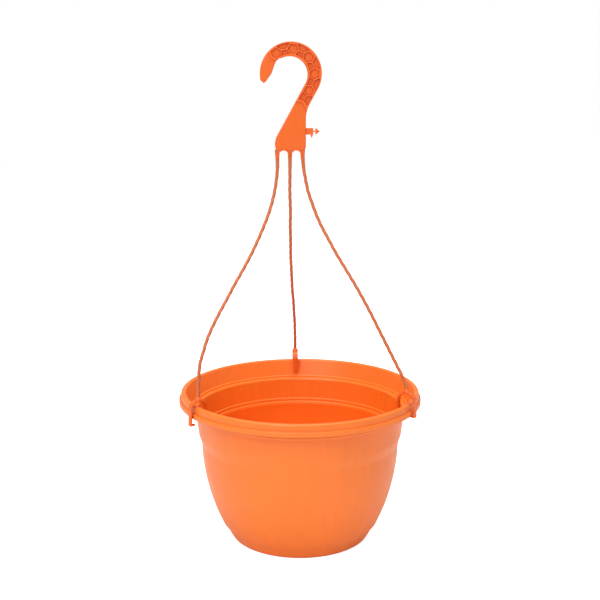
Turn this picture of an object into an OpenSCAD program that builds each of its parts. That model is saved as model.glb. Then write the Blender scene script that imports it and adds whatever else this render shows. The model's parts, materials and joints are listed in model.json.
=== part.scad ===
// Hanging basket: a round nursery pot carried by a moulded hanger with a flat
// hook, three thin strands and three clips that straddle the pot's rim.
// Millimetres, +Z up, origin at the centre of the pot's base.

/* [Pot] */
// Height of the pot, from its base to the crown of its rim
pot_h = 156; // [150:1:165]
// Diameter over the rim's bead
rim_d = 250; // [246:1:260]
// Thickness of the moulded wall
wall = 1.8; // [1.4:0.1:2.2]
// Height of the foot ring, up to its step
foot_h = 15; // [8:1:24]
// Number of drain holes in the base
drain_count = 6; // [3:1:8]
// Diameter of one drain hole
drain_d = 9; // [6:0.5:12]

/* [Hook] */
// Radius of the saddle, the inside of the hook that hangs on a rail
saddle_r = 17.5; // [17:0.5:18]
// Thickness of the hook over its raised ribs
hook_t = 6.4; // [6:0.2:8]
// Thickness of the hook's plain plate
plate_t = 4.6; // [3.6:0.2:5.2]
// Side of one honeycomb cell, measured at the middle of the band
cell_side = 5.8; // [5.6:0.1:5.9]
// Width of the ribs between the cells
rib_w = 1.3; // [1:0.1:1.6]

/* [Strands] */
// Diameter of a strand
strand_d = 2.8; // [2.4:0.1:3]
// Distance between two strands where they leave the hook
strand_pitch = 12.6; // [12:0.1:13]
// Rings swept along one strand
strand_rings = 24; // [18:1:24]

/* [Clips] */
// Thickness of the bent clip
clip_t = 2.2; // [1.8:0.1:2.4]
// Width of the clip along the rim
clip_w = 4.8; // [4.4:0.2:6]
// Height of the clip's top above the crown when its toe is hooked under the bead
clip_top = 12.2; // [12:0.1:13]
// How far the left clip has slipped down on the rim
left_slip = 5.2; // [0:0.1:5.2]
// How far the back clip has slipped down on the rim
back_slip = 1.4; // [0:0.1:5.2]
// How far the right clip has slipped down on the rim
right_slip = 0; // [0:0.1:5.2]

/* [Colours] */
// Colour of the pot
pot_colour = "#FD8247";
// Colour of the hanger
hanger_colour = "#F26E3C";

/* [Hidden] */

round_fn = 96;
ring_fn = 180;
eps = 0.01;

// ---- pot: radii and heights of the profile --------------------------------
rim_r = rim_d / 2;
belly_r0 = rim_r - 229.4;
belly_z = 106;
belly_R = 207;
foot_inset = 1.4;
foot_round = 2;
outer_step_z = 105;
neck_low_r = rim_r - 19.3;
neck_top_r = rim_r - 16.6;
shelf_z = pot_h - 19;
shelf_rise = 2.4;
shelf_r = rim_r - 12.7;
lip_r = rim_r - 4.5;
lip_low_z = pot_h - 15;
lip_t = 1.8;
crown_in_r = rim_r - 7.1;
crown_out_r = rim_r - 2.1;
crown_round = 2.2;
ledge_z = pot_h - 7;
bead_low_z = pot_h - 12;
floor_t = 2.2;
drain_ring_r = 48;
profile_steps = 14;

// ---- hook: the saddle, the back arc and the straight stem ------------------
hang_x = -10;
root_z = 396.5;
saddle_z = root_z + 77.5;
back_r = 30.3;
back_off = [1, 1];
stem_lean = 29;
seam = 0.08;
mid_off = [0.5, 0.5];
mid_r = 23.9;
stem_right_x = 15.8;
stem_blend_r = 31;
stem_left_x = -14.8;
stem_left_top = root_z + 12;
stem_left_low = root_z + 7.5;
arch_r = 4.6;
arch_z = root_z - 0.7;
lip_w = 1.4;
tip_z = saddle_z - 8.4;
tip_shoulder_z = saddle_z - 4.6;
tip_x = [-29.3, -25.2, -21.9];
border_out = 1.3;
border_in = 1.9;
band_half = 6.8;
cell_first = 12.15;
socket_r = strand_d / 2 + 0.4;
root_gap = 0.6;

// ---- tag pin, on the hook's right edge ------------------------------------
tag_z = root_z + 22.7;
tag_x = hang_x + stem_right_x;
tag_t = 2.4;

// ---- clips: three, a third of a turn apart --------------------------------
clip_ring_r = rim_r - 6.8;
clip_gap_r = 7.3;
clip_splay = 0.9;
clip_inner_end = 11.5;
toe_gap = 0.4;
toe_t = 1.4;
toe_len = 4;
boss_h = 2.6;
boss_r = 3.6;
clip_angle = [210, 90, 330];
clip_slip = [left_slip, back_slip, right_slip];

function on_clip(i, h) = [
    clip_ring_r * cos(clip_angle[i]), clip_ring_r * sin(clip_angle[i]), h - clip_slip[i]
];
strand_end_z = pot_h + clip_top + boss_h;

// ---- strand routes: from the hook's root down to the boss on each clip ----
route_left = [
    [hang_x - strand_pitch, 0, root_z], [-22.5, 0, 384], [-23.5, -0.5, 372],
    [-25.5, -1.5, 360], [-28.5, -4, 348], [-32.5, -7, 336], [-37.5, -10.5, 324],
    [-43, -14.5, 312], [-49, -19, 300], [-57, -25, 286], [-65.5, -31, 272],
    [-73.5, -37, 258], [-80.5, -42.5, 246], [-87, -47.5, 234], [-92.5, -51.5, 222],
    [-96.5, -54.5, 210], [-100, -57, 198], [-101.5, -58.5, 184], on_clip(0, strand_end_z)
];
route_back = [
    [hang_x, 0, root_z], [-10, 0.5, 384], [-10, 2, 372],
    [-10, 5, 360], [-9.5, 10, 348], [-9, 15.5, 336], [-9, 22.5, 324],
    [-8.5, 30, 312], [-8, 38.5, 300], [-7.5, 49.5, 286], [-6.5, 60.5, 272],
    [-5.5, 71.5, 258], [-4.5, 82, 244], [-3, 91.5, 230], [-2, 100, 216],
    [-1, 107, 204], [-0.5, 112.5, 192], [0, 116.5, 182], on_clip(1, strand_end_z)
];
route_right = [
    [hang_x + strand_pitch, 0, root_z], [3.5, -0.5, 384], [5.5, -1.5, 372],
    [8, -3, 360], [12, -5.5, 348], [16.5, -8, 336], [22, -11.5, 324],
    [28.5, -15, 312], [35, -19, 300], [43.5, -24, 286], [52, -29, 272],
    [60, -33.5, 258], [67.5, -38.5, 244], [74.5, -42.5, 230], [81.5, -46.5, 216],
    [87.5, -50, 204], [93.5, -54, 192], [98.5, -57, 182], on_clip(2, strand_end_z)
];

// ============================ pot ===========================================
function belly(z) = belly_r0 + sqrt(belly_R * belly_R - pow(z - belly_z, 2));
function belly_points(from, to, inset) = [
    for (i = [0 : profile_steps])
        let (z = from + (to - from) * i / profile_steps) [belly(z) - inset, z]
];

// Outside of the pot, from the base to the shelf under the rim
outer_body = concat(
    [[0, 0], [belly(0) - foot_inset - foot_round, 0]],
    [for (a = [-60 : 30 : 0])
        [belly(0) - foot_inset - foot_round * (1 - cos(a)), foot_round * (1 + sin(a))]],
    belly_points(foot_round + 1, foot_h - 0.8, foot_inset),
    belly_points(foot_h, outer_step_z, 0),
    [[neck_low_r - 1, outer_step_z + 1.6], [neck_low_r, outer_step_z + 3.6]],
    [[neck_top_r - 0.1, shelf_z - 2.4], [neck_top_r + 0.8, shelf_z - 1.4]]
);

// Rim, from the shelf's outer corner over the crown and back to the shelf
shelf_out_r = shelf_r + wall;
rim_outer = [
    [shelf_out_r - 0.9, shelf_z + shelf_rise - 1.8], [shelf_out_r, shelf_z + shelf_rise - 0.4],
    [shelf_out_r + 0.8, lip_low_z], [lip_r, lip_low_z], [lip_r, lip_low_z + lip_t],
    [shelf_out_r + 1.5, lip_low_z + lip_t],
    [crown_in_r + wall, pot_h - 3], [crown_in_r + wall + 0.4, pot_h - wall],
    [crown_out_r - wall - 0.4, pot_h - wall], [crown_out_r - wall, pot_h - 2.6],
    [crown_out_r - wall + 0.2, ledge_z - wall + 0.4], [rim_r - wall, ledge_z - wall - 0.2],
    [rim_r - wall, bead_low_z], [rim_r - 0.6, bead_low_z],
    [rim_r, bead_low_z + 0.6], [rim_r, ledge_z - 1.2], [rim_r - 0.6, ledge_z - 0.3],
    [crown_out_r + 0.3, ledge_z], [crown_out_r, ledge_z + 1]
];
crown = concat(
    [for (a = [0 : 22.5 : 90])
        [crown_out_r - crown_round * (1 - cos(a)), pot_h - crown_round * (1 - sin(a))]],
    [for (a = [90 : 22.5 : 180])
        [crown_in_r + crown_round * (1 + cos(a)), pot_h - crown_round * (1 - sin(a))]]
);

// Inside of the pot, from the shelf down to the floor
inner_step_z = outer_step_z + 5.2;
inner_body = concat(
    [[shelf_r, shelf_z + shelf_rise], [neck_top_r - wall, shelf_z - 0.6]],
    [[neck_low_r - wall + 0.6, inner_step_z + 3.4]],
    [for (p = belly_points(inner_step_z - 0.4, foot_h + 1, wall)) p],
    [for (p = belly_points(foot_h - 1, floor_t + 2.4, wall + foot_inset)) p],
    [[belly(floor_t) - foot_inset - wall - 2.6, floor_t], [0, floor_t]]
);

module drain_holes() {
    for (i = [0 : drain_count - 1])
        rotate([0, 0, 360 * (i + 0.5) / drain_count])
            translate([drain_ring_r, 0, -1])
                cylinder(h = floor_t + 2, d = drain_d, $fn = 48);
}

module pot() {
    color(pot_colour)
        difference() {
            rotate_extrude($fn = ring_fn)
                polygon(concat(outer_body, rim_outer, crown, inner_body));
            drain_holes();
        }
}

// ============================ hook ==========================================
// The hook is drawn flat, x to the right and y up, with the saddle's centre at
// the origin, and stood up by upright().
stem_n = [cos(stem_lean), -sin(stem_lean)];
stem_t = [sin(stem_lean), cos(stem_lean)];

// Point of the band at u along its middle and v across it. u is 0 where the
// straight stem meets the arc and grows round the arc towards the tip.
function band(u, v) = u >= 0
    ? let (a = -stem_lean + u / mid_r * 180 / PI) mid_off + (mid_r + v) * [cos(a), sin(a)]
    : mid_off + (mid_r + v) * stem_n + u * stem_t;

function cell(u, v, shrink) = [
    for (k = [0 : 5])
        band(u + (cell_side - shrink) * cos(60 * k), v + (cell_side - shrink) * sin(60 * k))
];

module upright(thickness) {
    translate([hang_x, thickness / 2, saddle_z])
        rotate([90, 0, 0])
            linear_extrude(height = thickness) children();
}

root_y = root_z - saddle_z;
stem_out_r = back_off * stem_n + back_r - seam;
stem_in_r = saddle_r + seam;
stem_top_out = stem_out_r * stem_n;
stem_top_in = stem_in_r * stem_n;
function stem_out(y) = stem_top_out + stem_t * (y - stem_top_out[1]) / stem_t[1];
function stem_in(y) = stem_top_in + stem_t * (y - stem_top_in[1]) / stem_t[1];
corner_y = stem_top_out[1] - (stem_top_out[0] - stem_right_x) / tan(stem_lean);

// Hook's arc: the back disc without the saddle, cut along the tip and the stem
module arc_2d() {
    difference() {
        translate(back_off) circle(r = back_r, $fn = ring_fn);
        circle(r = saddle_r, $fn = ring_fn);
        polygon([
            [0, 0], 40 * stem_n, [20, -40], [-40, -40],
            [-40, tip_shoulder_z - saddle_z], [tip_x[0], tip_shoulder_z - saddle_z],
            [tip_x[1], tip_z - saddle_z], [tip_x[2], tip_shoulder_z - saddle_z], [-14, 10.5]
        ]);
    }
}

// Straight stem that widens into the panel above the strands
module stem_2d() {
    low = root_y + root_gap;
    difference() {
        union() {
            polygon([
                stem_top_in + 3 * stem_t, stem_top_out + stem_t, [stem_right_x, corner_y],
                [stem_right_x, root_y + 6.5], [strand_pitch + 1.8, low],
                [-strand_pitch - 1.8, low], [stem_left_x, stem_left_low - saddle_z],
                [stem_left_x, stem_left_top - saddle_z], stem_in(root_y + 17)
            ]);
            stem_blend_2d();
        }
        for (s = [-1, 1])
            translate([s * strand_pitch / 2, arch_z - saddle_z]) circle(r = arch_r, $fn = 64);
    }
}

// Concave blend between the leaning and the upright part of the right edge
module stem_blend_2d() {
    rise = stem_blend_r * tan(stem_lean / 2);
    difference() {
        polygon([
            [stem_right_x - 3, corner_y - rise], [stem_right_x, corner_y - rise],
            stem_out(corner_y + rise * cos(stem_lean)), stem_out(corner_y) - [3, 0]
        ]);
        translate([stem_right_x + stem_blend_r, corner_y - rise])
            circle(r = stem_blend_r, $fn = ring_fn);
    }
}

module outline_2d() {
    arc_2d();
    stem_2d();
}

// Where the honeycomb's raised layer lies: the band between the two lips
module comb_zone_2d() {
    tip_end = band(cell_first + 3 * 3 * cell_side + cell_side + 0.8, 0);
    tip_in = band(cell_first + 3 * 3 * cell_side + 4, -band_half - 2);
    tip_out = band(cell_first + 3 * 3 * cell_side + 4, band_half + 2);
    intersection() {
        outline_2d();
        polygon([
            tip_end, tip_in, [0, 0], [-2, -22], band(-22, -band_half - 2), band(-20, -4.5),
            band(-18.6, -2), band(-19, 1), band(-21.5, 4.6), band(-24.5, 7.6),
            [60, -20], [60, 60], [-20, 60], tip_out
        ]);
    }
}

// The band inside its two borders, where the cells are sunk
module field_2d() {
    difference() {
        translate(back_off) circle(r = back_r - border_out, $fn = ring_fn);
        circle(r = saddle_r + border_in, $fn = ring_fn);
        polygon([[0, 0], 60 * stem_n, [20, -60], [-60, -60], [-60, 0]]);
    }
    polygon([
        stem_top_in + border_in * stem_n + 3 * stem_t, stem_top_out - border_out * stem_n + stem_t,
        stem_out(-36) - border_out * stem_n, stem_in(-36) + border_in * stem_n
    ]);
}

module cells_2d() {
    pitch = 3 * cell_side;
    row = cell_side * sqrt(3) / 2;
    intersection() {
        field_2d();
        union() {
            for (k = [-1 : 3]) polygon(cell(cell_first + k * pitch, 0, rib_w / sqrt(3)));
            for (k = [-2 : 2], s = [-1, 1])
                polygon(cell(cell_first + (k + 0.5) * pitch, s * row, rib_w / sqrt(3)));
        }
    }
}

// Raised lip over each arch between the strands
module lips_2d() {
    intersection() {
        outline_2d();
        for (s = [-1, 1])
            translate([s * strand_pitch / 2, arch_z - saddle_z])
                circle(r = arch_r + lip_w, $fn = 64);
    }
}

module hook() {
    color(hanger_colour)
        difference() {
            union() {
                upright(plate_t) outline_2d();
                upright(hook_t) difference() {
                    comb_zone_2d();
                    cells_2d();
                }
                upright(plate_t + 0.8) lips_2d();
            }
            translate([hang_x - 2 * strand_pitch, 0, root_z])
                rotate([0, 90, 0]) cylinder(h = 4 * strand_pitch, r = socket_r, $fn = round_fn);
        }
}

// ============================ tag pin =======================================
// Barbed pin that a plant label is pushed onto, flat like the hook
module tag_pin() {
    color(hanger_colour) {
        translate([tag_x, tag_t / 2, tag_z]) rotate([90, 0, 0]) linear_extrude(height = tag_t) {
            polygon([
                [0, 3.2], [0, -3.2], [4.6, -3.2], [5.8, -6.8], [7, -3.2], [7.2, -2.6],
                [7.2, -0.6], [9.8, -0.6], [9.2, -3.1], [9.9, -3.1], [13.8, 0],
                [9.9, 3.1], [9.2, 3.1], [9.8, 0.6], [7.2, 0.6], [7.2, 3.2]
            ]);
        }
    }
}

// ============================ strands =======================================
// Point at t on the smooth curve through a route's points
function catmull(a, b, c, d, t) =
    b + t * ((c - a) / 2 + t * (a - 2.5 * b + 2 * c - d / 2 + t * (1.5 * (b - c) + (d - a) / 2)));
function route_at(route, s) =
    let (
        last = len(route) - 1,
        i = min(floor(s * last), last - 1),
        a = i > 0 ? route[i - 1] : 2 * route[0] - route[1],
        d = i + 2 <= last ? route[i + 2] : 2 * route[last] - route[last - 1]
    )
    catmull(a, route[i], route[i + 1], d, s * last - i);

function unit(v) = v / norm(v);

// Ring of eight points square to the strand at s, pushed back by back along it
function ring_at(route, s, r, back) =
    let (
        h = 0.002,
        t = unit(route_at(route, min(s + h, 1)) - route_at(route, max(s - h, 0))),
        side = unit(cross(t, [0, 1, 0.3])),
        up = cross(side, t)
    )
    [
        for (k = [0 : 7])
            route_at(route, s) - back * t + r * (cos(45 * k) * side + sin(45 * k) * up)
    ];

// Closed tube of eight sides along a route, with a domed end at the root and the foot
module strand(route) {
    r = strand_d / 2;
    root = [for (a = [80, 52, 26]) each ring_at(route, 0, r * cos(a), r * sin(a))];
    tube = [for (i = [0 : strand_rings - 1]) each ring_at(route, i / (strand_rings - 1), r, 0)];
    foot = [for (a = [26, 52, 80]) each ring_at(route, 1, r * cos(a), -r * sin(a))];
    points = concat(root, tube, foot);
    last = len(points) / 8 - 1;
    sides = [
        for (i = [0 : last - 1], k = [0 : 7])
            let (a = 8 * i + k, b = 8 * i + (k + 1) % 8) each [[a, b, b + 8], [a, b + 8, a + 8]]
    ];
    caps = [[for (k = [7 : -1 : 0]) k], [for (k = [0 : 7]) 8 * last + k]];
    color(hanger_colour) polyhedron(points = points, faces = concat(caps, sides));
}

module strand_left() { strand(route_left); }
module strand_back() { strand(route_back); }
module strand_right() { strand(route_right); }

// ============================ clips =========================================
// Cone over the arch of a clip, with a groove across its top for the strand's foot
module boss() {
    difference() {
        translate([0, 0, clip_top - 1.6])
            cylinder(h = boss_h + 1.6, r1 = boss_r, r2 = strand_d / 2 + 1.1,
                $fn = round_fn);
        translate([0, 2 * boss_r, clip_top + boss_h]) rotate([90, 0, 0])
            cylinder(h = 4 * boss_r, r = socket_r, $fn = round_fn);
    }
}

// Side of a clip: x outward from the middle of its arch, y up from the crown
module clip_side() {
    out = clip_gap_r + clip_t;
    arc_y = clip_top - out;
    toe_y = bead_low_z - pot_h - toe_gap;
    difference() {
        translate([0, arc_y]) circle(r = out, $fn = round_fn);
        translate([0, arc_y]) circle(r = clip_gap_r, $fn = round_fn);
        translate([-2 * out, arc_y - 2 * out]) square([4 * out, 2 * out]);
    }
    translate([-out, -clip_inner_end]) square([clip_t, arc_y + clip_inner_end + eps]);
    polygon([
        [clip_gap_r, arc_y + eps], [out, arc_y + eps], [out + clip_splay, toe_y - toe_t],
        [clip_gap_r + clip_splay - toe_len, toe_y - toe_t + 0.4],
        [clip_gap_r + clip_splay - toe_len, toe_y - 0.3], [clip_gap_r + clip_splay, toe_y]
    ]);
}

// One clip at its own place on the rim
module clip(i) {
    color(hanger_colour)
        rotate([0, 0, clip_angle[i]])
            translate([clip_ring_r, 0, pot_h - clip_slip[i]]) {
                translate([0, clip_w / 2, 0]) rotate([90, 0, 0])
                    linear_extrude(height = clip_w) clip_side();
                boss();
            }
}

module clip_left() { clip(0); }
module clip_back() { clip(1); }
module clip_right() { clip(2); }

pot();
hook();
tag_pin();
strand_left();
strand_back();
strand_right();
clip_left();
clip_back();
clip_right();
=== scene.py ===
"""Finished look of a hanging basket: a moulded pot and a hanger with a hook, strands and clips."""
import json
import math

import bmesh
import bpy
from mathutils import Matrix, Vector


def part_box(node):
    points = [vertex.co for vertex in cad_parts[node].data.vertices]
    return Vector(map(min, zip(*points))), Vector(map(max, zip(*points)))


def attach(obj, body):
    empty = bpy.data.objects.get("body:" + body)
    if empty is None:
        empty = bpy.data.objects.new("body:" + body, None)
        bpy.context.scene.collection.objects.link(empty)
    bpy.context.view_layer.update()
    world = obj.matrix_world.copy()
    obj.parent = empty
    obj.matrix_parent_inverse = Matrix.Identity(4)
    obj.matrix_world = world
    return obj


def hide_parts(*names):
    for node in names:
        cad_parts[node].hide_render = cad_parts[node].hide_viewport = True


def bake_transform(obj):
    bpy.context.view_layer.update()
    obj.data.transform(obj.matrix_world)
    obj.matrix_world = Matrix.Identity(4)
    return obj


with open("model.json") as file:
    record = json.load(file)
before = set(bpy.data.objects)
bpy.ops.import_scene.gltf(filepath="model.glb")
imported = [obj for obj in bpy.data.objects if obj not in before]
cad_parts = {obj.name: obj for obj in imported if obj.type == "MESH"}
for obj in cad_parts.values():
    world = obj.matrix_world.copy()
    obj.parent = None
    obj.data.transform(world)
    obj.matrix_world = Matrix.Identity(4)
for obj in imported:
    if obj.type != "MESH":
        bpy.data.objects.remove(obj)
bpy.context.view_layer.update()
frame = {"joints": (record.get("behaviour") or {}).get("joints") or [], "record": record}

bl_info = {
    "name": "Hanging Basket",
    "version": (1, 0, 0),
    "blender": (4, 5, 0),
    "location": "3D View > Sidebar > Basket",
    "description": "Builds a moulded hanging basket round its packed frame",
    "category": "Add Mesh",
}

MM = 0.001

# Bodies of the packed model
BASKET = "basket"
HOOK_HEAD = "hook_head"

# Sizes that come from the packed nodes
POT_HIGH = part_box("pot")[1]
RECORD = frame["record"]
JOINTS = {j["name"]: j for j in frame["joints"]}
ROOT = Vector(JOINTS["hook_swing"]["pos_m"])
SADDLE = next(m for m in RECORD["mounts"] if m["name"] == "hook_saddle")
CROWN = POT_HIGH.z


def srgb(hex_code, alpha=1.0):
    """Linear colour of an sRGB hex code."""
    parts = [int(hex_code[i:i + 2], 16) / 255 for i in (1, 3, 5)]
    linear = [c / 12.92 if c <= 0.04045 else ((c + 0.055) / 1.055) ** 2.4 for c in parts]
    return (*linear, alpha)


# ============================ settings ======================================
def length(name, description, default):
    """A property that holds a length in metres."""
    return bpy.props.FloatProperty(
        name=name, description=description, default=default, min=0.0, unit="LENGTH", subtype="DISTANCE"
    )


def colour(name, description, hex_code):
    """A property that holds a colour."""
    return bpy.props.FloatVectorProperty(
        name=name, description=description, default=srgb(hex_code), size=4, min=0.0, max=1.0, subtype="COLOR"
    )


class PotSettings(bpy.types.PropertyGroup):
    """Sizes and colour of the pot."""

    wall: length("Wall", "Thickness of the moulded wall", 1.8 * MM)
    foot: length("Foot ring", "Height of the set-back ring at the base", 15 * MM)
    nose: length("Nose radius", "Rounding of the ledges' noses", 0.7 * MM)
    drain: length("Drain hole", "Diameter of one drain hole", 9 * MM)
    drain_ring: length("Drain ring", "Radius of the ring of drain holes", 48 * MM)
    drains: bpy.props.IntProperty(
        name="Drain holes", description="Holes in the ring", default=6, min=3, max=8
    )
    tint: colour("Colour", "Colour of the pot's plastic", "#F4781C")


class HookSettings(bpy.types.PropertyGroup):
    """Sizes and colour of the hook and the rest of the hanger."""

    plate: length("Plate", "Thickness of the plain plate", 4.6 * MM)
    comb: length("Comb", "Thickness over the honeycomb ribs", 6.4 * MM)
    cell: length("Cell side", "Side of one honeycomb cell", 5.8 * MM)
    rib: length("Rib", "Width of the ribs between the cells", 1.3 * MM)
    core: length("Core", "Thickness of the floor between the cells", 3.2 * MM)
    pin: length("Tag pin", "Thickness of the tag pin", 2.4 * MM)
    edge: length("Edge radius", "Rounding of the plate's edges", 0.8 * MM)
    tint: colour("Colour", "Colour of the hanger's plastic", "#E86410")


class StrandSettings(bpy.types.PropertyGroup):
    """Sizes of the strands."""

    thickness: length("Thickness", "Diameter over the strand's lobes", 3.6 * MM)
    lay: length("Lay", "Length of one full turn of the twist", 9 * MM)
    lobes: bpy.props.IntProperty(name="Lobes", description="Lobes round the strand", default=3, min=2, max=5)
    tint: colour("Colour", "Colour of the drawn strands", "#C8683A")


class ClipSettings(bpy.types.PropertyGroup):
    """Sizes of the clips."""

    band: length("Band", "Thickness of the bent band", 2.2 * MM)
    width: length("Arch width", "Width of the arch along the rim", 5.8 * MM)
    leg: length("Leg width", "Width of the two legs along the rim", 4.8 * MM)
    gap: length("Gap radius", "Radius inside the arch", 7.3 * MM)
    edge: length("Edge radius", "Rounding of the band's edges", 0.5 * MM)


class StageSettings(bpy.types.PropertyGroup):
    """Camera, floor and light."""

    lens: bpy.props.FloatProperty(
        name="Lens", description="Focal length on a 36 mm sensor", default=60.0, min=10.0, unit="CAMERA"
    )
    distance: length("Distance", "Level distance from the pot's axis to the camera", 1.003)
    height: length("Height", "Height of the camera above the floor", 0.4468)
    pitch: bpy.props.FloatProperty(
        name="Pitch", description="How far the camera looks down",
        default=math.radians(11.15), subtype="ANGLE", unit="ROTATION"
    )
    turn: bpy.props.FloatProperty(
        name="Turn", description="How far the camera stands to the left of the front",
        default=math.radians(2.75), subtype="ANGLE", unit="ROTATION"
    )
    floor: colour("Floor", "Colour of the pale floor", "#FAFAFA")


SETTINGS = {
    "basket_pot": PotSettings,
    "basket_hook": HookSettings,
    "basket_strand": StrandSettings,
    "basket_clip": ClipSettings,
    "basket_stage": StageSettings,
}


# ============================ materials =====================================
def add_node(tree, kind, settings=None, links=None):
    """Adds a node, sets its values and inputs, and links its inputs from other sockets."""
    node = tree.nodes.new(kind)
    for key, value in (settings or {}).items():
        if hasattr(node, key):
            setattr(node, key, value)
        else:
            node.inputs[key].default_value = value
    for key, socket in (links or {}).items():
        tree.links.new(socket, node.inputs[key])
    return node


def moulded_polypropylene(name, tint, grain, flow, recess, painted_shade):
    """Satin polypropylene: a soft broad sheen with a fine spark-eroded grain.

    The eye sees an even strong colour, a wide highlight that breaks up in the grain, a slight
    waviness where the wall has sunk, faint streaks where the melt flowed, and a little light
    that goes into the wall. The colour also carries painted shade: an ambient occlusion node darkens
    it in narrow recesses. grain, flow and recess are lengths in metres, recess being how far the
    painted shade reaches, and painted_shade is how much of each channel the colour keeps where
    the painted shade is full.
    """
    material = bpy.data.materials.get(name)
    if material:
        return material
    material = bpy.data.materials.new(name)
    material.use_nodes = True
    tree = material.node_tree
    tree.nodes.clear()
    place = add_node(tree, "ShaderNodeTexCoord").outputs["Object"]

    # Flow streaks run up the wall: the pattern is stretched ten times along Z
    stretched = add_node(tree, "ShaderNodeMapping", {"Scale": (1.0, 1.0, 0.1)}, {"Vector": place})
    streaks = add_node(
        tree, "ShaderNodeTexNoise",
        {"Scale": 1 / flow, "Detail": 4.0, "Roughness": 0.55}, {"Vector": stretched.outputs["Vector"]}
    )
    clouds = add_node(
        tree, "ShaderNodeTexNoise", {"Scale": 1 / (9 * flow), "Detail": 2.0}, {"Vector": place}
    )
    # Painted shade: an ambient occlusion node darkens the colour in narrow recesses, where little light
    # reaches
    shade_occlusion = add_node(
        tree, "ShaderNodeAmbientOcclusion", {"samples": 8, "inside": False, "Distance": recess}
    )
    painted_shade_ramp = add_node(tree, "ShaderNodeValToRGB", {}, {"Fac": shade_occlusion.outputs["AO"]})
    shaded_stop, free = painted_shade_ramp.color_ramp.elements
    shaded_stop.position, free.position = 0.4, 0.94
    shaded_stop.color = (*painted_shade, 1.0)
    free.color = (1.0, 1.0, 1.0, 1.0)
    both = add_node(
        tree, "ShaderNodeMix", {"data_type": "FLOAT", "Factor": 0.5},
        {2: streaks.outputs["Fac"], 3: clouds.outputs["Fac"]}
    )
    shade = add_node(tree, "ShaderNodeValToRGB", {}, {"Fac": both.outputs[0]})
    dark, light = shade.color_ramp.elements
    dark.position, light.position = 0.36, 0.66
    dark.color = [c * 0.955 for c in tint[:3]] + [1.0]
    light.color = [min(1.0, c * 1.03 + 0.002) for c in tint[:3]] + [1.0]

    # The streaked colour is multiplied by the painted shade of the recesses
    tinted = add_node(
        tree, "ShaderNodeVectorMath", {"operation": "MULTIPLY"},
        {0: shade.outputs["Color"], 1: painted_shade_ramp.outputs["Color"]}
    )

    # Handling leaves the sheen a little uneven
    wear = add_node(
        tree, "ShaderNodeTexNoise", {"Scale": 1 / (2.5 * flow), "Detail": 5.0, "Roughness": 0.6},
        {"Vector": place}
    )
    gloss = add_node(
        tree, "ShaderNodeMapRange",
        {"From Min": 0.3, "From Max": 0.7, "To Min": 0.36, "To Max": 0.46}, {"Value": wear.outputs["Fac"]}
    )

    # Grain of the mould, and the wall's slow sink marks under it
    sparks = add_node(
        tree, "ShaderNodeTexNoise", {"Scale": 1 / grain, "Detail": 3.0, "Roughness": 0.6}, {"Vector": place}
    )
    sink = add_node(tree, "ShaderNodeTexNoise", {"Scale": 1 / (4 * flow), "Detail": 1.0}, {"Vector": place})
    waves = add_node(
        tree, "ShaderNodeBump", {"Strength": 0.25, "Distance": 0.25 * MM}, {"Height": sink.outputs["Fac"]}
    )
    relief = add_node(
        tree, "ShaderNodeBump", {"Strength": 0.35, "Distance": 0.03 * MM},
        {"Height": sparks.outputs["Fac"], "Normal": waves.outputs["Normal"]}
    )
    plastic = add_node(
        tree, "ShaderNodeBsdfPrincipled",
        {
            "IOR": 1.49,
            "Metallic": 0.0,
            "Subsurface Weight": 0.06,
            "Subsurface Radius": (1.0, 0.5, 0.2),
            "Subsurface Scale": 1.5 * MM,
        },
        {
            "Base Color": tinted.outputs["Vector"],
            "Roughness": gloss.outputs["Result"],
            "Normal": relief.outputs["Normal"],
        },
    )
    add_node(tree, "ShaderNodeOutputMaterial", {}, {"Surface": plastic.outputs["BSDF"]})
    return material


def pot_plastic(scene):
    """The pot's polypropylene: a big moulding, with a coarser grain and long flow streaks."""
    return moulded_polypropylene(
        "moulded_polypropylene_pot", scene.basket_pot.tint,
        # painted_shade: how much of each channel is kept under the painted shade in recesses
        grain=0.7 * MM, flow=7 * MM, recess=3 * MM, painted_shade=(0.92, 0.74, 0.7)
    )


def hanger_plastic(scene):
    """The hanger's polypropylene: a smaller moulding, with a finer grain and short streaks."""
    return moulded_polypropylene(
        "moulded_polypropylene_hanger", scene.basket_hook.tint,
        # painted_shade: how much of each channel is kept under the painted shade in recesses
        grain=0.5 * MM, flow=3 * MM, recess=4 * MM, painted_shade=(0.8, 0.38, 0.45)
    )


def strand_plastic(scene):
    """The strands' polypropylene: the same plastic drawn thin, a little duller, with shade in its twist."""
    return moulded_polypropylene(
        "drawn_polypropylene_strand", scene.basket_strand.tint,
        # painted_shade: how much of each channel is kept under the painted shade in recesses
        grain=0.4 * MM, flow=2 * MM, recess=1.5 * MM, painted_shade=(0.7, 0.45, 0.5)
    )


# Glow of the floor, seen by the camera only, so that it throws no light on the pieces
FLOOR_GLOW = 0.8


def studio_card(name, tint):
    """Matt painted studio board: even and white to the eye, with no sheen and no tinted glow."""
    material = bpy.data.materials.new(name)
    material.use_nodes = True
    tree = material.node_tree
    tree.nodes.clear()
    seen = add_node(tree, "ShaderNodeLightPath").outputs["Is Camera Ray"]
    glow = add_node(tree, "ShaderNodeMapRange", {"To Min": 0.0, "To Max": FLOOR_GLOW}, {"Value": seen})
    board = add_node(
        tree, "ShaderNodeBsdfPrincipled",
        {"Base Color": tint, "Roughness": 0.9, "IOR": 1.4, "Emission Color": tint},
        {"Emission Strength": glow.outputs["Result"]}
    )
    add_node(tree, "ShaderNodeOutputMaterial", {}, {"Surface": board.outputs["BSDF"]})
    return material


# ============================ shape helpers =================================
def new_object(name, mesh_or_curve):
    """Links a new object for some data."""
    made = bpy.data.objects.new(name, mesh_or_curve)
    bpy.context.scene.collection.objects.link(made)
    return made


def smooth(mesh, degrees=40):
    """Shades a mesh smooth, but for edges sharper than the angle."""
    mesh.polygons.foreach_set("use_smooth", [True] * len(mesh.polygons))
    mesh.set_sharp_from_angle(angle=math.radians(degrees))


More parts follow.
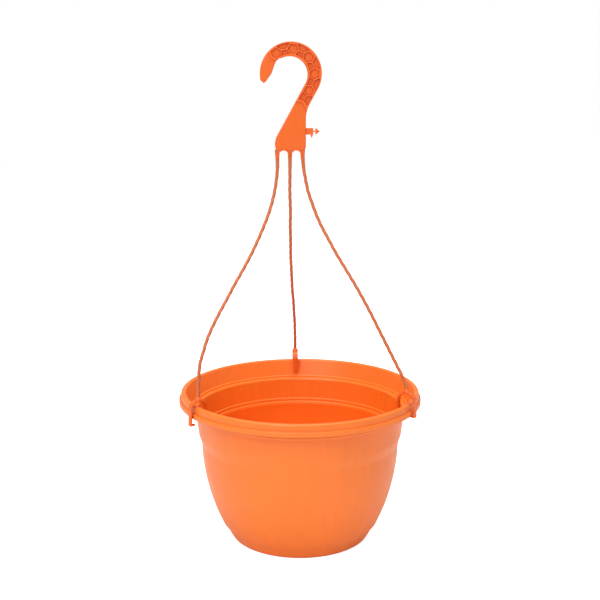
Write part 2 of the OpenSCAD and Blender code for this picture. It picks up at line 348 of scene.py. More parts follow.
def settle(obj):
    """Applies an object's modifiers, and turns a curve into a mesh."""
    shown = obj.evaluated_get(bpy.context.evaluated_depsgraph_get())
    mesh = bpy.data.meshes.new_from_object(shown)
    name = obj.name
    old = obj.data
    if obj.type == "MESH":
        obj.modifiers.clear()
        obj.data = mesh
        bpy.data.meshes.remove(old)
        return obj
    bpy.data.objects.remove(obj)
    bpy.data.curves.remove(old)
    return new_object(name, mesh)


WELD_GAP = 0.004 * MM


def tidy_mesh(obj):
    """Welds points that lie on each other and turns all faces outward."""
    shape = bmesh.new()
    shape.from_mesh(obj.data)
    bmesh.ops.remove_doubles(shape, verts=shape.verts, dist=WELD_GAP)
    bmesh.ops.dissolve_degenerate(shape, dist=WELD_GAP, edges=shape.edges)
    bmesh.ops.recalc_face_normals(shape, faces=shape.faces)
    shape.to_mesh(obj.data)
    shape.free()
    return obj


def even_normals(obj):
    """Lets the large faces set the shading beside small roundings."""
    weighted = obj.modifiers.new("weighted", "WEIGHTED_NORMAL")
    weighted.keep_sharp = True
    return settle(obj)


def merge(first, others, operation="UNION"):
    """Joins or cuts solids with exact booleans, and removes the tools."""
    for other in others:
        cut = first.modifiers.new("cut", "BOOLEAN")
        cut.operation = operation
        cut.solver = "EXACT"
        cut.object = other
        first = settle(first)
        bpy.data.objects.remove(other)
    return first


def rounded(points, steps=4):
    """Outline through (x, y, radius) corners, each turned into an arc of its radius."""
    line = []
    count = len(points)
    for i, (x, y, radius) in enumerate(points):
        here = Vector((x, y))
        before = Vector(points[i - 1][:2]) - here
        after = Vector(points[(i + 1) % count][:2]) - here
        if radius <= 0 or before.length < 1e-9 or after.length < 1e-9:
            line.append(here)
            continue
        angle = before.angle(after)
        if angle > math.radians(178):
            line.append(here)
            continue
        reach = min(radius / math.tan(angle / 2), before.length * 0.49, after.length * 0.49)
        start = here + before.normalized() * reach
        end = here + after.normalized() * reach
        for k in range(steps + 1):
            t = k / steps
            line.append((1 - t) ** 2 * start + 2 * t * (1 - t) * here + t ** 2 * end)
    return line


def arc(centre, radius, start, end, steps):
    """Points of an arc, with angles in degrees."""
    angles = [math.radians(start + (end - start) * k / steps) for k in range(steps + 1)]
    return [Vector((centre[0] + radius * math.cos(a), centre[1] + radius * math.sin(a))) for a in angles]


def lathe(name, line, segments):
    """Turns an outline of (radius, height) points round the Z axis."""
    shape = bmesh.new()
    rings = []
    for r, z in line:
        if r < 1e-7:
            rings.append([shape.verts.new((0, 0, z))])
            continue
        turn = [2 * math.pi * k / segments for k in range(segments)]
        rings.append([shape.verts.new((r * math.cos(a), r * math.sin(a), z)) for a in turn])
    for low, high in zip(rings, rings[1:]):
        for k in range(segments):
            m = (k + 1) % segments
            corner = [low[k % len(low)], low[m % len(low)], high[m % len(high)], high[k % len(high)]]
            corner = list(dict.fromkeys(corner))
            if len(corner) > 2:
                shape.faces.new(corner)
    bmesh.ops.recalc_face_normals(shape, faces=shape.faces)
    mesh = bpy.data.meshes.new(name)
    shape.to_mesh(mesh)
    shape.free()
    return new_object(name, mesh)


EDGE_STEPS = 3


def slab(name, outlines, thickness, edge, origin, inset=0.0):
    """Flat moulded slab in the XZ plane: the first outline less the others, with rounded edges."""
    curve = bpy.data.curves.new(name, "CURVE")
    curve.dimensions = "2D"
    curve.fill_mode = "BOTH"
    curve.extrude = thickness / 2 - edge
    curve.bevel_depth = edge
    curve.bevel_resolution = EDGE_STEPS
    curve.offset = -edge - inset
    for outline in outlines:
        spline = curve.splines.new("POLY")
        spline.points.add(len(outline) - 1)
        for point, (x, y) in zip(spline.points, outline):
            point.co = (x, y, 0.0, 1.0)
        spline.use_cyclic_u = True
    made = settle(new_object(name, curve))
    made.data.transform(Matrix.Translation(origin) @ Matrix.Rotation(math.pi / 2, 4, "X"))
    return tidy_mesh(made)


def finish_piece(obj, material, slot_name, body, *nodes):
    """Gives a piece its finish and its body, and hides the packed nodes that it stands for."""
    obj.data.materials.clear()
    obj.data.materials.append(material)
    if nodes:
        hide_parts(*nodes)
    if body:
        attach(obj, body)
    return obj


# ============================ strands =======================================
# Points of each route in millimetres, from the hook's root to the clip's boss
ROUTE_LEFT = [
    (-22.6, 0, 396.5), (-22.5, 0, 384), (-23.5, -0.5, 372), (-25.5, -1.5, 360), (-28.5, -4, 348),
    (-32.5, -7, 336), (-37.5, -10.5, 324), (-43, -14.5, 312), (-49, -19, 300), (-57, -25, 286),
    (-65.5, -31, 272), (-73.5, -37, 258), (-80.5, -42.5, 246), (-87, -47.5, 234), (-92.5, -51.5, 222),
    (-96.5, -54.5, 210), (-100, -57, 198), (-101.5, -58.5, 184),
]
ROUTE_BACK = [
    (-10, 0, 396.5), (-10, 0.5, 384), (-10, 2, 372), (-10, 5, 360), (-9.5, 10, 348),
    (-9, 15.5, 336), (-9, 22.5, 324), (-8.5, 30, 312), (-8, 38.5, 300), (-7.5, 49.5, 286),
    (-6.5, 60.5, 272), (-5.5, 71.5, 258), (-4.5, 82, 244), (-3, 91.5, 230), (-2, 100, 216),
    (-1, 107, 204), (-0.5, 112.5, 192), (0, 116.5, 182),
]
ROUTE_RIGHT = [
    (2.6, 0, 396.5), (3.5, -0.5, 384), (5.5, -1.5, 372), (8, -3, 360), (12, -5.5, 348),
    (16.5, -8, 336), (22, -11.5, 324), (28.5, -15, 312), (35, -19, 300), (43.5, -24, 286),
    (52, -29, 272), (60, -33.5, 258), (67.5, -38.5, 244), (74.5, -42.5, 230), (81.5, -46.5, 216),
    (87.5, -50, 204), (93.5, -54, 192), (98.5, -57, 182),
]
ROUTES = {"left": ROUTE_LEFT, "back": ROUTE_BACK, "right": ROUTE_RIGHT}


def clip_foot(side):
    """Point where a strand goes into its clip's boss: the hinge of that clip."""
    return Vector(JOINTS[f"clip_rock_{side}"]["pos_m"])


def smooth_line(points, per_span):
    """Catmull-Rom curve through points, sampled evenly in each span."""
    line = []
    for i in range(len(points) - 1):
        b, c = points[i], points[i + 1]
        a = points[i - 1] if i else 2 * b - c
        d = points[i + 2] if i + 2 < len(points) else 2 * c - b
        for k in range(per_span):
            t = k / per_span
            line.append(
                b + t * ((c - a) / 2 + t * (a - 2.5 * b + 2 * c - d / 2 + t * (1.5 * (b - c) + (d - a) / 2)))
            )
    line.append(points[-1])
    return line


INTO_TAB = 5 * MM
INTO_BOSS = 3 * MM
SPAN_STEPS = 14


def strand_line(side):
    """Centreline of one strand, from inside the hook's tab to inside the clip's boss."""
    route = [Vector(p) * MM for p in ROUTES[side]]
    foot = clip_foot(side)
    into_tab = route[0] + Vector((0, 0, INTO_TAB))
    into_boss = foot - Vector((0, 0, INTO_BOSS))
    return smooth_line([into_tab] + route + [foot, into_boss], SPAN_STEPS)


# How far a strand swells at its two ends, and over what length
ROOT_SWELL = 0.42
ROOT_FLARE = 16 * MM
FOOT_SWELL = 0.06
FOOT_FLARE = 12 * MM
# Depth between the lobes, where the twist starts and how soon it is full
LOBE_DEPTH = 0.2
PLAIN_END = 14 * MM
TWIST_GROWS = 20 * MM


def strand_mesh(name, line, radius, lay, lobes, sides=24):
    """Tube with twisted lobes that flares to a smooth round root and a smooth round foot."""
    gone = [0.0]
    for a, b in zip(line, line[1:]):
        gone.append(gone[-1] + (b - a).length)
    total = gone[-1]
    shape = bmesh.new()
    rings = []
    across = Vector((1, 0, 0))
    for i, centre in enumerate(line):
        along = (line[min(i + 1, len(line) - 1)] - line[max(i - 1, 0)]).normalized()
        across = (across - along * across.dot(along)).normalized()
        other = along.cross(across)
        here = gone[i]
        root = max(0.0, 1 - here / ROOT_FLARE)
        foot = max(0.0, 1 - (total - here) / FOOT_FLARE)
        twisted = min(1.0, max(0.0, (here - PLAIN_END) / TWIST_GROWS), (total - here) / PLAIN_END)
        depth = LOBE_DEPTH * twisted
        swell = 1 + ROOT_SWELL * root ** 2 + FOOT_SWELL * foot ** 2
        ring = []
        for k in range(sides):
            a = 2 * math.pi * k / sides
            wave = 0.5 + 0.5 * math.cos(lobes * (a - 2 * math.pi * here / lay / lobes))
            r = radius * swell * (1 - depth * (1 - wave ** 0.7))
            ring.append(shape.verts.new(centre + r * (math.cos(a) * across + math.sin(a) * other)))
        rings.append(ring)
    for low, high in zip(rings, rings[1:]):
        for k in range(sides):
            shape.faces.new([low[k], low[(k + 1) % sides], high[(k + 1) % sides], high[k]])
    shape.faces.new(rings[0])
    shape.faces.new(rings[-1][::-1])
    bmesh.ops.recalc_face_normals(shape, faces=shape.faces)
    mesh = bpy.data.meshes.new(name)
    shape.to_mesh(mesh)
    shape.free()
    smooth(mesh, 70)
    return new_object(name, mesh)


class BASKET_OT_strands(bpy.types.Operator):
    """Adds the three twisted strands from the hook to the clips"""

    bl_idname = "basket.strands"
    bl_label = "Strands"

    def execute(self, context):
        sizes = context.scene.basket_strand
        for side in ROUTES:
            line = strand_line(side)
            piece = strand_mesh(f"{side}_strand", line, sizes.thickness / 2, sizes.lay, sizes.lobes)
            finish_piece(piece, strand_plastic(context.scene), "hanger_plastic", None, f"strand_{side}")
            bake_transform(piece)
        return {"FINISHED"}


# ============================ pot ===========================================
# The bowl's side is one arc: its radius, its centre's height and how far that lies inside the rim
BELLY_R = 207
BELLY_Z = 106
BELLY_IN = 229.4
FOOT_INSET = 1.4


def belly(z):
    """Radius of the bowl's outside at a height, in millimetres: one arc from base to neck."""
    rim = POT_HIGH.x / MM
    return rim - BELLY_IN + math.sqrt(BELLY_R ** 2 - (z - BELLY_Z) ** 2)


def bowl(low, high, inset, steps):
    """Points of the bowl's arc between two heights, set in by a wall or a step."""
    heights = [low + (high - low) * k / steps for k in range(steps + 1)]
    return [(belly(z) - inset, z, 0) for z in heights]


def pot_outline(sizes):
    """Closed outline of the pot's wall, in millimetres, as (radius, height, rounding)."""
    rim = POT_HIGH.x / MM
    top = CROWN / MM
    wall = sizes.wall / MM
    foot = sizes.foot / MM
    nose = sizes.nose / MM
    outside = [(0, 0, 0), (58, 0, 0.3), (58.4, 0.5, 0.3), (61.6, 0.5, 0.3), (62, 0, 0.3)]
    outside += [(belly(0) - FOOT_INSET, 0, 2.0)]
    outside += bowl(3, foot - 1, FOOT_INSET, 5)
    outside += [(belly(foot) - 1.3, foot, 0.5), (belly(foot + 0.5), foot + 0.6, 0.6)]
    outside += bowl(foot + 2.5, 98, 0, 32)
    outside += [
        (belly(101.5), 101.5, 14.0), (rim - 19.5, 111.0, 14.0), (rim - 16.6, top - 20.4, 0.6),
        (rim - 11.8, top - 18.4, 0.5), (rim - 10.9, top - 17.0, 0.2),
        (rim - 10.1, top - 15.0, 0.2), (rim - 4.5, top - 15.0, 0.6), (rim - 4.5, top - 13.2, 0.6),
        (rim - 9.4, top - 13.2, 0.3),
        (rim - 5.3, top - 3.0, 0.5), (rim - 4.4, top - 1.8, 0.3), (rim - 3.9, top - 2.4, 0.3),
        (rim - 3.7, top - 8.4, 0.4), (rim - wall, top - 9.0, 0.6), (rim - wall, top - 12.0, 0.4),
        (rim, top - 12.0, 1.0), (rim, top - 7.2, 1.0), (rim - 2.1, top - 6.9, 0.5),
        (rim - 2.1, top, 2.3), (rim - 7.1, top, 2.3),
    ]
    inside = [
        (rim - 12.7, top - 17.0, 0.5), (rim - 14.2, top - 17.4, nose), (rim - 14.5, top - 19.2, 0.4),
        (rim - 18.0, top - 19.6, nose), (rim - 18.6, top - 21.0, 0.4),
        (rim - 20.8, 114.4, 0.5), (rim - 22.2, 114.0, nose), (rim - 22.4, 110.9, 0.5),
        (rim - 23.6, 110.5, nose), (belly(108) - wall, 108, 0.5),
    ]
    inside += bowl(106, foot + 2, wall, 34)
    inside += bowl(foot - 1, 4.8, wall + FOOT_INSET, 4)
    inside += [
        (belly(2.2) - FOOT_INSET - wall - 1.2, 2.2, 2.4), (54, 2.2, 0.3), (53.6, 1.9, 0.3), (0, 1.9, 0),
    ]
    return outside + inside


def fine_outline(points, step):
    """Rounds an outline, leaves its two ends on the axis and splits its long straights."""
    line = rounded(points, 5)
    fine = [line[0]]
    for a, b in zip(line, line[1:]):
        count = max(1, int((b - a).length / step))
        fine += [a.lerp(b, (k + 1) / count) for k in range(count)]
    return fine


OUTLINE_STEP = 4.0
POT_SIDES = 288
DRILL_SIDES = 40


class BASKET_OT_pot(bpy.types.Operator):
    """Adds the thin-walled pot with its ledges, rolled rim and drain holes"""

    bl_idname = "basket.pot"
    bl_label = "Pot"

    def execute(self, context):
        sizes = context.scene.basket_pot
        line = [p * MM for p in fine_outline(pot_outline(sizes), OUTLINE_STEP)]
        pot = lathe("moulded_pot", line, POT_SIDES)
        hole = sizes.drain / 2
        drill = [
            (0, -2 * MM), (hole + 2.6 * MM, -2 * MM), (hole + 0.4 * MM, 0.0), (hole, 0.4 * MM),
            (hole, 1.5 * MM), (hole + 0.4 * MM, 1.9 * MM), (hole + 2.6 * MM, 4 * MM), (0, 4 * MM),
        ]
        drills = []
        for k in range(sizes.drains):
            tool = lathe(f"drill_{k}", drill, DRILL_SIDES)
            turn = 2 * math.pi * (k + 0.5) / sizes.drains
            place = Vector((math.cos(turn), math.sin(turn), 0)) * sizes.drain_ring
            tool.data.transform(Matrix.Translation(place))
            drills.append(tool)
        pot = merge(pot, drills, "DIFFERENCE")
        smooth(pot.data, 50)
        pot = even_normals(pot)
        finish_piece(pot, pot_plastic(context.scene), "pot_plastic", BASKET, "pot")
        return {"FINISHED"}


# ============================ hook ==========================================
# The hook is drawn in millimetres about the saddle's centre, x to the right and y up
HANG_X = SADDLE["pos_m"][0] / MM
SADDLE_Z = SADDLE["pos_m"][2] / MM
SADDLE_R = SADDLE["dims"]["r_mm"]
BACK_R = 30.3
BACK_OFF = Vector((1, 1))
MID_R = 23.9
MID_OFF = Vector((0.5, 0.5))
STEM_LEAN = math.radians(29)
STEM_N = Vector((math.cos(STEM_LEAN), -math.sin(STEM_LEAN)))
STEM_T = Vector((math.sin(STEM_LEAN), math.cos(STEM_LEAN)))
ROOT_Y = ROOT.z / MM - SADDLE_Z
PITCH = 12.6
TAB = 1.8
ARCH_R = 4.6
ARCH_Y = ROOT_Y - 0.7
TAB_END_Y = ROOT_Y - 4
STEM_RIGHT_X = 15.8
STEM_LEFT_X = -14.8

# First honeycomb cell along the band, and how far the cells reach to either side of its middle
CELL_FIRST = 12.15
REACH_OUT = 5.4
REACH_IN = 4.8


def stem_edge(distance, y):
    """Point at height y on the straight stem's edge that lies a distance from the saddle's centre."""
    foot = distance * STEM_N
    return foot + STEM_T * (y - foot.y) / STEM_T.y


def band(u, v):
    """Point of the hook's band, u along its middle line and v across it."""
    if u >= 0:
        a = -STEM_LEAN + u / MID_R
        return MID_OFF + (MID_R + v) * Vector((math.cos(a), math.sin(a)))
    return MID_OFF + (MID_R + v) * STEM_N + u * STEM_T


def arches():
    """Lower edge of the hook from the right to the left tab, with its two arches."""
    line = []
    for side in (1, -1):
        centre = (side * PITCH / 2, ARCH_Y)
        line += [Vector((centre[0] + ARCH_R, TAB_END_Y))]
        line += arc(centre, ARCH_R, 0, 180, 20)
        line += [Vector((centre[0] - ARCH_R, TAB_END_Y))]
    return line


def hook_outline():
    """Whole outline of the hook, against the clock from the tip."""
    back = STEM_N * (BACK_OFF.dot(STEM_N) + BACK_R)
    corner_y = back.y - (back.x - STEM_RIGHT_X) / math.tan(STEM_LEAN)
    tip = [(-29.1, -5.0, 2.6), (-25.4, -8.9, 2.2), (-21.9, -4.6, 4.0)]
    tip += [(-17.8, 1.1, 2.0), (-15.8, 6.8, 3.0), (-13.6, 12.5, 3.0)]
    line = rounded([(-29.3, 0.6, 0)] + tip + [(-9.3, 15.8, 2.0), (-7.8, 15.7, 0)])[1:-1]
    line += arc((0, 0), SADDLE_R, 116, -math.degrees(STEM_LEAN), 64)
    left = [
        (*stem_edge(SADDLE_R, ROOT_Y + 28), 0), (*stem_edge(SADDLE_R, ROOT_Y + 17), 4.0),
        (STEM_LEFT_X, ROOT_Y + 12, 2.5), (STEM_LEFT_X, ROOT_Y + 7.5, 2.0), (-12.8, ROOT_Y + 3.5, 1.5),
        (-PITCH - TAB, ROOT_Y, 0.5), (-PITCH - TAB, TAB_END_Y, 0),
    ]
    line += rounded([(*stem_edge(SADDLE_R, -20), 0)] + left)
    line += reversed(arches())
    right = [
        (PITCH + TAB, TAB_END_Y, 0), (PITCH + TAB, ROOT_Y + 3.5, 1.5), (STEM_RIGHT_X, ROOT_Y + 7.5, 2.0),
        (STEM_RIGHT_X, corner_y, 31.0), (*stem_edge(back.length, back.y - 3), 0),
    ]
    line += rounded(right, 10)
    start = math.degrees(math.atan2(*(back - BACK_OFF).yx))
    line += arc(BACK_OFF, BACK_R, start, 180, 110)
    return line


def comb_zone():
    """Outline round the part of the hook that the raised honeycomb covers, closed by its two lips."""
    low_lip = [(-22, -9), (-20, -4.5), (-18.6, -2), (-19, 1), (-21.5, 4.6), (-24.5, 7.6)]
    tip_lip = [(68.2, 9), (71.2, 0), (68.2, -9)]
    around = [Vector((60, -20)), Vector((60, 60)), Vector((-20, 60))]
    within = [Vector((0, 0)), Vector((-2, -22))]
    return [band(*p) for p in low_lip] + around + [band(*p) for p in tip_lip] + within


def bent(points, turn=0.5):
    """Outline given as (u, v) corners along the band, with long sides split so that they follow it."""
    line = []
    for i, (u, v) in enumerate(points):
        after = points[(i + 1) % len(points)]
        parts = max(1, int(abs(after[0] - u) / 3.0))
        for k in range(parts):
            t = k / parts
            spot = band(u + t * (after[0] - u), v + t * (after[1] - v))
            line.append((spot.x, spot.y, 0.0 if k else turn))
    return rounded(line, 3)


def cell_outlines(sizes):
    """Every honeycomb cell: whole ones down the middle, half ones against both borders."""
    full = sizes.cell / MM
    side = full - sizes.rib / MM / math.sqrt(3)
    high = side * math.sqrt(3) / 2
    row = full * math.sqrt(3) / 2
    cells = []
    for k in range(-1, 4):
        u = CELL_FIRST + 3 * k * full
        turns = [j * math.pi / 3 for j in range(6)]
        cells.append(bent([(u + side * math.cos(a), side * math.sin(a)) for a in turns]))
    for k in range(-1, 3):
        u = CELL_FIRST + 3 * (k + 0.5) * full
        for way, border in ((1, REACH_OUT), (-1, REACH_IN)):
            near = row - high
            if border < row:
                reach = side / 2 + (border - near) / math.sqrt(3)
            else:
                reach = side - (border - row) / math.sqrt(3)
            half = [(u - side / 2, near), (u + side / 2, near), (u + reach, border), (u - reach, border)]
            if border > row:
                half[2:2] = [(u + side, row)]
                half.append((u - side, row))
            cells.append(bent([(p, way * q) for p, q in half]))
    cells.append(bent([
        (-11.05, 0.6), (-8.6, 4.9), (-8.9, REACH_OUT), (-19.0, REACH_OUT), (-17.2, 3.0), (-16.4, 0.6),
    ]))
    cells.append(bent([(-11.05, -0.6), (-8.6, -4.6), (-16.5, -4.8), (-16.8, -2.2), (-16.6, -0.6)]))
    return cells


def hook_origin():
    """Where the saddle's centre stands."""
    return Vector((HANG_X, 0, SADDLE_Z)) * MM


def in_metres(points):
    """Outline points in metres."""
    return [(x * MM, y * MM) for x, y in points]


def prism(name, outline, thickness, origin):
    """Straight block over an outline, to cut with."""
    shape = bmesh.new()
    ends = [[shape.verts.new((x, y, z)) for x, y in outline] for z in (-thickness / 2, thickness / 2)]
    shape.faces.new(ends[0][::-1])
    shape.faces.new(ends[1])
    for k in range(len(outline)):
        m = (k + 1) % len(outline)
        shape.faces.new([ends[0][k], ends[0][m], ends[1][m], ends[1][k]])
    bmesh.ops.recalc_face_normals(shape, faces=shape.faces)
    mesh = bpy.data.meshes.new(name)
    shape.to_mesh(mesh)
    shape.free()
    made = new_object(name, mesh)
    made.data.transform(Matrix.Translation(origin) @ Matrix.Rotation(math.pi / 2, 4, "X"))
    return made


def join(pieces):
    """Puts the meshes of several pieces into the first one."""
    shape = bmesh.new()
    for piece in pieces:
        shape.from_mesh(piece.data)
    shape.to_mesh(pieces[0].data)
    shape.free()
    for piece in pieces[1:]:
        bpy.data.objects.remove(piece)
    return pieces[0]


ZONE_DEPTH = 20 * MM
PLATE_EDGE = 1.0 * MM
CORE_INSET = 0.6 * MM
BEAD_EDGE = 0.65 * MM
BEAD_GAP = 0.05
BEAD_W = 1.4


class BASKET_OT_hook(bpy.types.Operator):
    """Adds the flat hook with its honeycomb ribs, plain panel, plain tip and beaded arches"""

    bl_idname = "basket.hook"
    bl_label = "Hook"

    def execute(self, context):
        sizes = context.scene.basket_hook
        origin = hook_origin()
        outline = in_metres(hook_outline())
        cells = [in_metres(cell) for cell in cell_outlines(sizes)]
        zone = in_metres(comb_zone())
        plain = slab("flat_hook", [outline], sizes.plate, PLATE_EDGE, origin)
        plain = merge(plain, [prism("zone", zone, ZONE_DEPTH, origin)], "DIFFERENCE")
        comb = slab("comb", [outline] + cells, sizes.comb, sizes.edge / 2, origin)
        comb = merge(comb, [prism("zone", zone, ZONE_DEPTH, origin)], "INTERSECT")
        core = slab("core", [outline], sizes.core, sizes.edge / 2, origin, inset=CORE_INSET)
        beads = []
        for side in (1, -1):
            centre = (side * PITCH / 2, ARCH_Y)
            inner = ARCH_R + BEAD_GAP
            ring = arc(centre, inner, -14, 194, 28) + arc(centre, inner + BEAD_W, 190, -10, 28)
            beads.append(slab(f"bead_{side}", [in_metres(ring)], sizes.comb, BEAD_EDGE, origin))
        plate = join([plain, comb, core] + beads)
        smooth(plate.data)
        plate = even_normals(plate)
        finish_piece(plate, hanger_plastic(context.scene), "hanger_plastic", HOOK_HEAD, "hook")
        return {"FINISHED"}


# ============================ tag pin =======================================
PIN_EDGE = 0.3 * MM


class BASKET_OT_tag_pin(bpy.types.Operator):
    """Adds the barbed pin for a plant label, with the spiked flange behind it"""

    bl_idname = "basket.tag_pin"
    bl_label = "Tag pin"

    def execute(self, context):
        sizes = context.scene.basket_hook
        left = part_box("tag_pin")[0].x
        middle = next(m for m in RECORD["mounts"] if m["name"] == "tag_post")["pos_m"][2]
        outline = rounded([
            (-1.6, 3.2, 0), (-1.6, -3.2, 0), (4.6, -3.2, 0.3), (5.8, -6.8, 0.2), (7.0, -3.2, 0.3),
            (7.2, -2.6, 0.3), (7.2, -0.6, 0.3), (9.8, -0.6, 0.2), (9.2, -3.1, 0.2), (9.9, -3.1, 0.3),
            (13.8, 0, 0.3), (9.9, 3.1, 0.3), (9.2, 3.1, 0.2), (9.8, 0.6, 0.2), (7.2, 0.6, 0.3),
            (7.2, 3.2, 0.4),
        ])
        place = Vector((left, 0, middle))
        pin = slab("barbed_tag_pin", [in_metres(outline)], sizes.pin, PIN_EDGE, place)
        smooth(pin.data)
        pin = even_normals(pin)
        finish_piece(pin, hanger_plastic(context.scene), "hanger_plastic", HOOK_HEAD, "tag_pin")
        return {"FINISHED"}


# ============================ clips =========================================
# Sizes of a clip in millimetres
TOE_T = 1.4
TOE_REACH = 3.1
LEG_SPLAY = 0.9
BOSS_H = 2.6
TOP_ABOVE_RIM = 12.2
INNER_LEG_END = 11.5
TOE_BELOW_RIM = 12.4
# The band narrows from its arch to its legs over this height
NARROW_FROM = 4.0 * MM
NARROW_OVER = 5.0 * MM


def clip_outline(sizes, down):
    """Side of a clip in millimetres: x outward from its hinge, y up from the arch's centre."""
    inside = sizes.gap / MM
    outside = inside + sizes.band / MM
    inner_end, toe = down
    toe_low = toe + TOE_T
    corners = [
        (outside, -0.01, 0), (outside + LEG_SPLAY, -toe_low, 0.9), (inside - TOE_REACH, -toe_low + 0.4, 0.4),
        (inside - TOE_REACH, -toe + 0.3, 0.4), (inside + LEG_SPLAY, -toe, 0.5), (inside, -0.01, 0),
    ]
    leg = [
        (-inside, -0.01, 0), (-inside, -inner_end, 0.5), (-outside, -inner_end, 0.9), (-outside, -0.01, 0),
    ]
    line = rounded([(outside, 0, 0)] + corners + [(inside, 0, 0)])[1:-1]
    line += arc((0, 0), inside, 0, 180, 32)
    line += rounded([(-inside, 0, 0)] + leg + [(-outside, 0, 0)])[1:-1]
    line += arc((0, 0), outside, 180, 0, 40)
    return line


def clip_piece(name, side, sizes, thickness):
    """One clip: a bent band that straddles the rim, wider over its arch, under a rounded cone."""
    hinge = clip_foot(side)
    outside = sizes.gap + sizes.band
    arch_top = hinge.z - BOSS_H * MM
    centre = arch_top - outside
    rim_top = arch_top - TOP_ABOVE_RIM * MM
    drop = (centre - rim_top) / MM
    outline = in_metres(clip_outline(sizes, (drop + INNER_LEG_END, drop + TOE_BELOW_RIM)))
    band_piece = slab(name, [outline], sizes.width, sizes.edge, Vector((0, 0, 0)))
    slim = sizes.leg / sizes.width
    for vert in band_piece.data.vertices:
        t = min(1.0, max(0.0, (vert.co.z + NARROW_FROM) / NARROW_OVER))
        vert.co.y *= slim + (1 - slim) * t * t * (3 - 2 * t)
    top = outside
    cone = [
        (0, top - 1.4 * MM), (3.3 * MM, top - 1.4 * MM), (3.5 * MM, top - 1.0 * MM),
        (3.45 * MM, top - 0.4 * MM), (3.2 * MM, top + 0.3 * MM), (2.8 * MM, top + 1.0 * MM),
        (2.35 * MM, top + 1.7 * MM), (2.0 * MM, top + 2.3 * MM),
        (thickness / 2, top + 3.0 * MM), (0, top + 3.0 * MM),
    ]
    boss = lathe(f"{name}_boss", cone, 40)
    clip = join([band_piece, boss])
    angle = math.atan2(hinge.y, hinge.x)
    place = Matrix.Translation((hinge.x, hinge.y, centre)) @ Matrix.Rotation(angle, 4, "Z")
    clip.data.transform(place)
    smooth(clip.data, 50)
    return even_normals(clip)


class BASKET_OT_clips(bpy.types.Operator):
    """Adds the three clips that straddle the rim"""

    bl_idname = "basket.clips"
    bl_label = "Clips"

    def execute(self, context):
        sizes = context.scene.basket_clip
        for side in ROUTES:
            clip = clip_piece(f"{side}_rim_clip", side, sizes, context.scene.basket_strand.thickness)
            plastic = hanger_plastic(context.scene)
            finish_piece(clip, plastic, "hanger_plastic", f"clip_{side}", f"clip_{side}")
        return {"FINISHED"}


# ============================ stage =========================================
# Side in metres, power and place of the two soft lights, and the backdrop's strength as a light
KEY_SIDE, KEY_WATTS, KEY_PLACE = 1.0, 21, (-0.7, -1.5, 1.6)
TOP_SIDE, TOP_WATTS, TOP_PLACE = 1.3, 27, (0, 0, 2.0)
BACKDROP_LIGHT = 0.48


def area_light(name, side, power, place, target, tint):
    """Soft square light that looks at a point."""
    data = bpy.data.lights.new(name, "AREA")
    data.shape = "SQUARE"
    data.size = side
    data.energy = power
    data.color = tint[:3]
    lamp = new_object(name, data)
    lamp.location = place
    lamp.rotation_euler = (Vector(target) - Vector(place)).to_track_quat("-Z", "Y").to_euler()
    return lamp


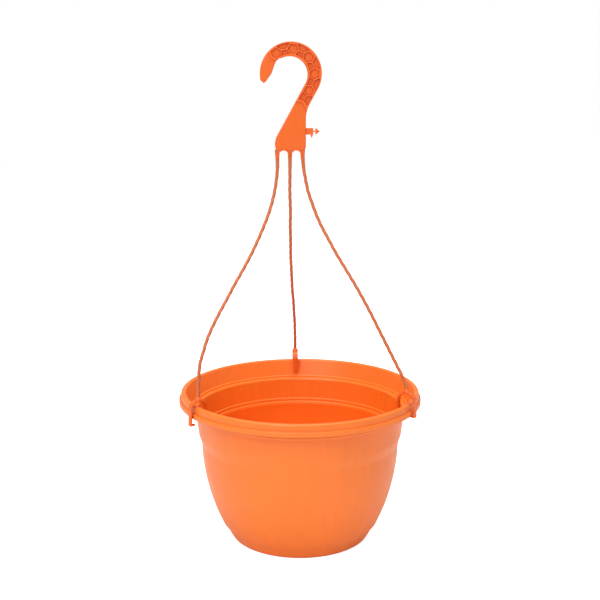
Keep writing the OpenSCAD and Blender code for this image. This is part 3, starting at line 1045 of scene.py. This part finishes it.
class BASKET_OT_stage(bpy.types.Operator):
    """Adds the camera, the pale floor and the soft studio light"""

    bl_idname = "basket.stage"
    bl_label = "Stage"

    def execute(self, context):
        scene = context.scene
        sizes = scene.basket_stage
        data = bpy.data.cameras.new("studio_camera")
        data.sensor_width = 36.0
        data.lens = sizes.lens
        camera = new_object("studio_camera", data)
        away = Vector((-math.sin(sizes.turn), -math.cos(sizes.turn), 0)) * sizes.distance
        camera.location = away + Vector((0, 0, sizes.height))
        camera.rotation_euler = (math.pi / 2 - sizes.pitch, 0, -sizes.turn)
        scene.camera = camera

        bpy.ops.mesh.primitive_plane_add(size=12.0, location=(0, 0, -0.2 * MM))
        floor = context.active_object
        floor.name = "studio_floor"
        floor.data.materials.append(studio_card("matt_studio_card", sizes.floor))

        middle = (0, 0, 0.2)
        white = srgb("#FFFFFF")
        area_light("key_light", KEY_SIDE, KEY_WATTS, KEY_PLACE, middle, white)
        area_light("top_light", TOP_SIDE, TOP_WATTS, TOP_PLACE, middle, white)

        # The backdrop is seen white, and lights the scene at part of that strength
        world = bpy.data.worlds.new("studio_world")
        scene.world = world
        world.use_nodes = True
        tree = world.node_tree
        seen = add_node(tree, "ShaderNodeLightPath").outputs["Is Camera Ray"]
        strength = add_node(
            tree, "ShaderNodeMapRange", {"To Min": BACKDROP_LIGHT, "To Max": 1.0}, {"Value": seen}
        )
        backdrop = tree.nodes["Background"]
        backdrop.inputs["Color"].default_value = white
        tree.links.new(strength.outputs["Result"], backdrop.inputs["Strength"])
        scene.view_settings.view_transform = "Standard"
        return {"FINISHED"}


# ============================ panel and start ===============================
OPERATORS = (
    BASKET_OT_stage, BASKET_OT_strands, BASKET_OT_pot, BASKET_OT_hook, BASKET_OT_tag_pin, BASKET_OT_clips,
)


class BASKET_PT_panel(bpy.types.Panel):
    """Sidebar panel that lists the basket's pieces"""

    bl_idname = "BASKET_PT_panel"
    bl_label = "Hanging Basket"
    bl_space_type = "VIEW_3D"
    bl_region_type = "UI"
    bl_category = "Basket"

    def draw(self, context):
        for operator in OPERATORS:
            self.layout.operator(operator.bl_idname)
        for name, group in SETTINGS.items():
            box = self.layout.box()
            box.label(text=group.__doc__)
            for key in group.__annotations__:
                box.prop(getattr(context.scene, name), key)


def register():
    """Registers the settings, the operators and the panel."""
    for name, group in SETTINGS.items():
        bpy.utils.register_class(group)
        setattr(bpy.types.Scene, name, bpy.props.PointerProperty(type=group))
    for operator in OPERATORS:
        bpy.utils.register_class(operator)
    bpy.utils.register_class(BASKET_PT_panel)


def unregister():
    """Removes them again."""
    bpy.utils.unregister_class(BASKET_PT_panel)
    for operator in reversed(OPERATORS):
        bpy.utils.unregister_class(operator)
    for name, group in reversed(SETTINGS.items()):
        delattr(bpy.types.Scene, name)
        bpy.utils.unregister_class(group)


def main():
    """Builds the basket."""
    register()
    bpy.ops.basket.stage()
    bpy.ops.basket.strands()
    bpy.ops.basket.pot()
    bpy.ops.basket.hook()
    bpy.ops.basket.tag_pin()
    bpy.ops.basket.clips()


if __name__ == "__main__":
    main()
